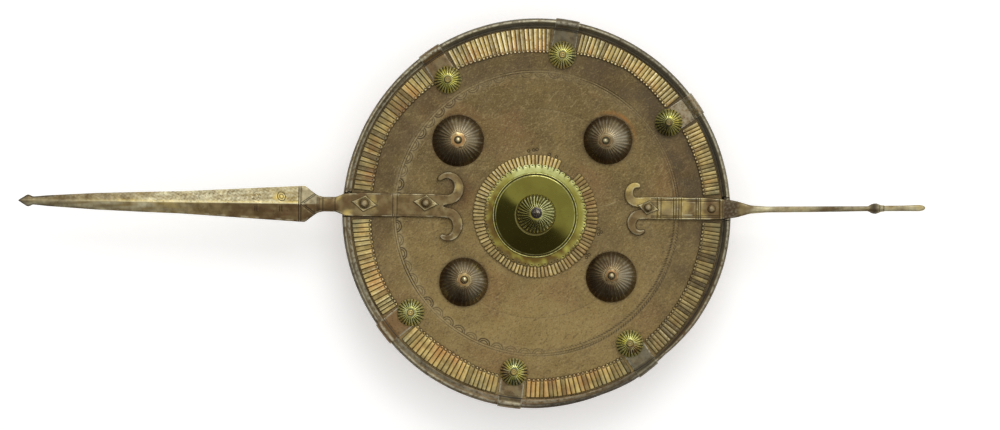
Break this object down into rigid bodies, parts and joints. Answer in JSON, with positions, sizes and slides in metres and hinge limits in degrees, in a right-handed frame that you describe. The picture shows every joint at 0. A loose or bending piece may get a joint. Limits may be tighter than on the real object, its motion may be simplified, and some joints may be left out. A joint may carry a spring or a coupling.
{
  "type": "parrying shield",
  "caption": "Round leather parrying shield with brass bosses and fluted strips, a dagger blade on one side, a knobbed rod on the other, and two handles behind.",
  "frame": {"origin": "middle of the whole object's footprint, on the surface that it lies on", "axes": "+Z out of the shield's front face, +X along the rod arm, away from the dagger blade, +Y across the arms"},
  "size_m": [0.8387, 0.362, 0.096],
  "materials": {
    "leather": "worn brown hide, matt to satin, tooled and scuffed",
    "binding": "dark leather, matt, wrapped and stitched",
    "rim_iron": "dark iron with a grey-green sheen, worn bright on its crest",
    "gilt_copper": "gilded copper sheet, tarnished in its grooves",
    "stud_brass": "bright yellow-green brass, dark in its flutes",
    "boss_brass": "smooth olive brass, polished",
    "dark_iron": "dark brown patina, satin",
    "arm_iron": "forged iron, browned, worn bright on its edges"
  },
  "bodies": {
    "root": {"boss_bolt_lower_left": "stud_brass", "boss_bolt_lower_right": "stud_brass", "boss_bolt_upper_left": "stud_brass", "boss_bolt_upper_right": "stud_brass", "boss_cone": "boss_brass", "boss_lower_left": "dark_iron", "boss_lower_right": "dark_iron", "boss_upper_left": "dark_iron", "boss_upper_right": "dark_iron", "brass_stud_1": "stud_brass", "brass_stud_2": "stud_brass", "brass_stud_3": "stud_brass", "brass_stud_4": "stud_brass", "brass_stud_5": "stud_brass", "brass_stud_6": "stud_brass", "dagger_arm": "arm_iron", "dagger_rivet_1": "arm_iron", "dagger_rivet_2": "arm_iron", "dagger_washer_1": "arm_iron", "dagger_washer_2": "arm_iron", "finial": "arm_iron", "fluted_bead": "boss_brass", "fluted_strip_1": "gilt_copper", "fluted_strip_2": "gilt_copper", "fluted_strip_3": "gilt_copper", "fluted_strip_4": "gilt_copper", "fluted_strip_5": "gilt_copper", "fluted_strip_6": "gilt_copper", "fluted_strip_7": "gilt_copper", "fluted_strip_8": "gilt_copper", "forearm_strap": "binding", "hand_grip": "binding", "leather_disc": "leather", "petal_collar": "boss_brass", "ray_ring": "gilt_copper", "rim": "rim_iron", "rim_clip_1": "rim_iron", "rim_clip_2": "rim_iron", "rim_clip_3": "rim_iron", "rim_clip_4": "rim_iron", "rim_clip_5": "rim_iron", "rim_clip_6": "rim_iron", "rod_arm": "arm_iron", "rod_rivet_1": "arm_iron", "rod_rivet_2": "arm_iron", "rod_washer_1": "arm_iron"}
  },
  "joints": []
}
